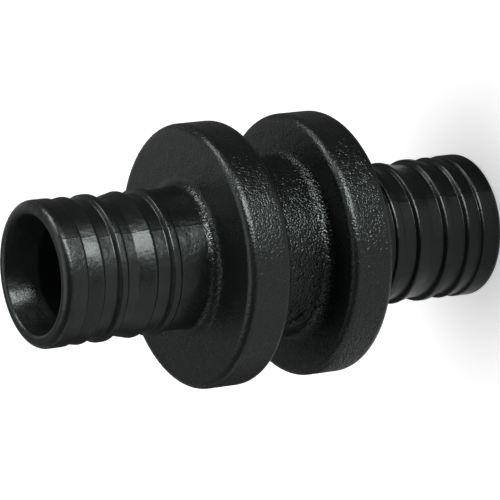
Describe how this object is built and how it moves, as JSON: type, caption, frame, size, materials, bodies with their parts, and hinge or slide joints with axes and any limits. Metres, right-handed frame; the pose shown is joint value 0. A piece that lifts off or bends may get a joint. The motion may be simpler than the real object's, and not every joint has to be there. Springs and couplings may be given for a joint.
{
  "type": "pipe coupling",
  "caption": "Straight plastic pipe coupling with a barbed spigot at each end and two round collars that a pressing tool bears on.",
  "frame": {"origin": "centre of the lower spigot's end face, which the coupling stands on", "axes": "+Z along the bore from the lower spigot to the upper one; the mould parts in the XZ plane"},
  "size_m": [0.032, 0.032, 0.0608],
  "materials": {
    "black_plastic": "spark-eroded grain on the collars and waist, satin on the spigots"
  },
  "bodies": {
    "root": {"coupling_body": "black_plastic"}
  },
  "joints": []
}
